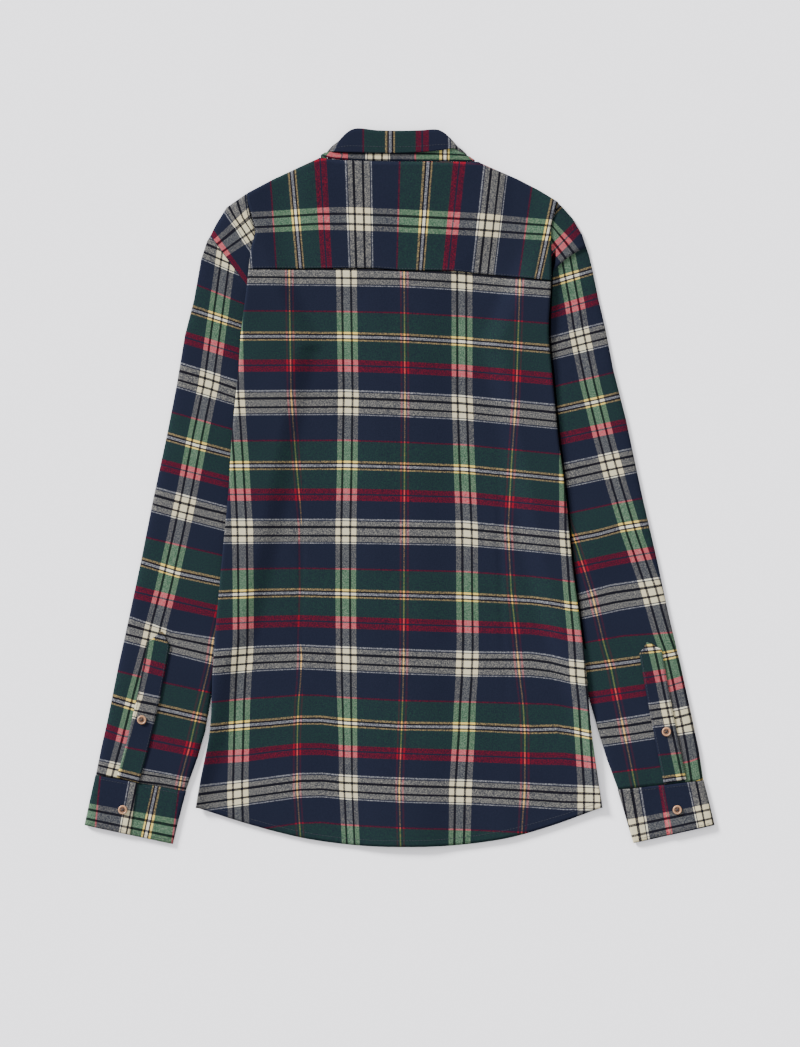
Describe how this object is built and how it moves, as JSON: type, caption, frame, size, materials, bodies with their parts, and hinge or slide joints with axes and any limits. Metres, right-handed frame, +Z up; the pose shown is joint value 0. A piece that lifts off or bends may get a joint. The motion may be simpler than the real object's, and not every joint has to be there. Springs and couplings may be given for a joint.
{
  "type": "flannel shirt",
  "caption": "Long-sleeved button-up shirt of checked flannel, laid flat with its back up and its sleeves folded down along the sides.",
  "frame": {"origin": "on the surface that the shirt lies on, at the middle of its outline", "axes": "+Z up out of the surface through the back of the shirt, +Y towards the collar, +X towards the right sleeve as seen from above"},
  "size_m": [0.693, 0.7901, 0.0095],
  "materials": {
    "flannel": "brushed cotton twill, woven in a navy, green, grey, red and yellow check",
    "cuff_flannel": "the same flannel with the check turned a quarter, stiffened",
    "button": "turned and lightly polished, sewn on with dark thread"
  },
  "bodies": {
    "root": {"back_panel": "flannel", "yoke": "flannel", "front_left": "flannel", "front_right": "flannel", "button_band": "flannel", "sleeve_left": "flannel", "sleeve_right": "flannel", "cuff_left": "cuff_flannel", "cuff_right": "cuff_flannel", "sleeve_placket_left": "flannel", "sleeve_placket_right": "flannel", "collar_stand": "cuff_flannel", "collar_leaf": "cuff_flannel", "front_button_1": "button", "front_button_2": "button", "front_button_3": "button", "front_button_4": "button", "front_button_5": "button", "front_button_6": "button", "collar_button": "button", "placket_button_left": "button", "placket_button_right": "button", "cuff_button_left": "button", "cuff_button_right": "button"}
  },
  "joints": []
}
